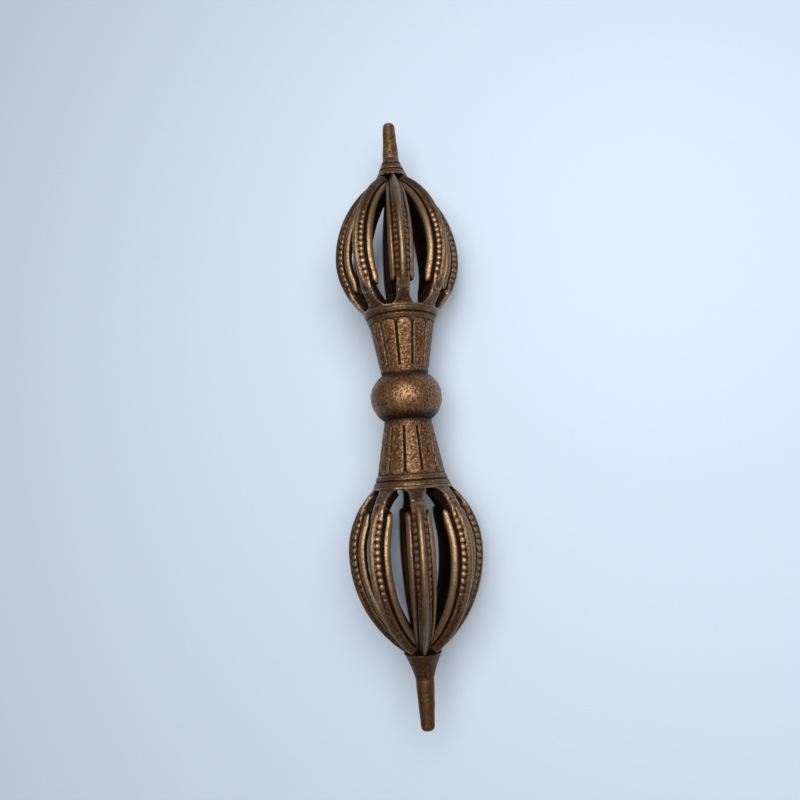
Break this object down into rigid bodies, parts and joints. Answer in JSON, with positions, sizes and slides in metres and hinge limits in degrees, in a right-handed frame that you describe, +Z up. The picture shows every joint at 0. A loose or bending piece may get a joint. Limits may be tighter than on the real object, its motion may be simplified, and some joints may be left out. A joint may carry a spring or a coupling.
{
  "type": "dorje vajra",
  "caption": "Double-ended ritual vajra of antiqued cast bronze: a squashed hub ball, fluted collars and two hollow cages of beaded ribs gathered under banded caps with blunt points.",
  "frame": {"origin": "middle of the hub ball, which is the middle of the whole object", "axes": "+X along the axis towards the upper end of the picture, +Z up with the object lying on two ribs of each cage"},
  "size_m": [0.14, 0.0282, 0.0282],
  "materials": {
    "antique_bronze": "antiqued, dark in the recesses",
    "worn_bronze": "antiqued, worn bright on the ridges and beads",
    "rod_bronze": "dark, as cast"
  },
  "bodies": {
    "root": {"hub_ball": "antique_bronze", "tie_rod": "rod_bronze", "upper_collar": "antique_bronze", "upper_rim_ring": "antique_bronze", "upper_crown": "antique_bronze", "upper_cap": "antique_bronze", "upper_point": "antique_bronze", "lower_collar": "antique_bronze", "lower_rim_ring": "antique_bronze", "lower_crown": "antique_bronze", "lower_cap": "antique_bronze", "lower_point": "antique_bronze", "upper_rib_1": "worn_bronze", "upper_rib_2": "worn_bronze", "upper_rib_3": "worn_bronze", "upper_rib_4": "worn_bronze", "upper_rib_5": "worn_bronze", "upper_rib_6": "worn_bronze", "upper_rib_7": "worn_bronze", "upper_rib_8": "worn_bronze", "lower_rib_1": "worn_bronze", "lower_rib_2": "worn_bronze", "lower_rib_3": "worn_bronze", "lower_rib_4": "worn_bronze", "lower_rib_5": "worn_bronze", "lower_rib_6": "worn_bronze", "lower_rib_7": "worn_bronze", "lower_rib_8": "worn_bronze"}
  },
  "joints": []
}
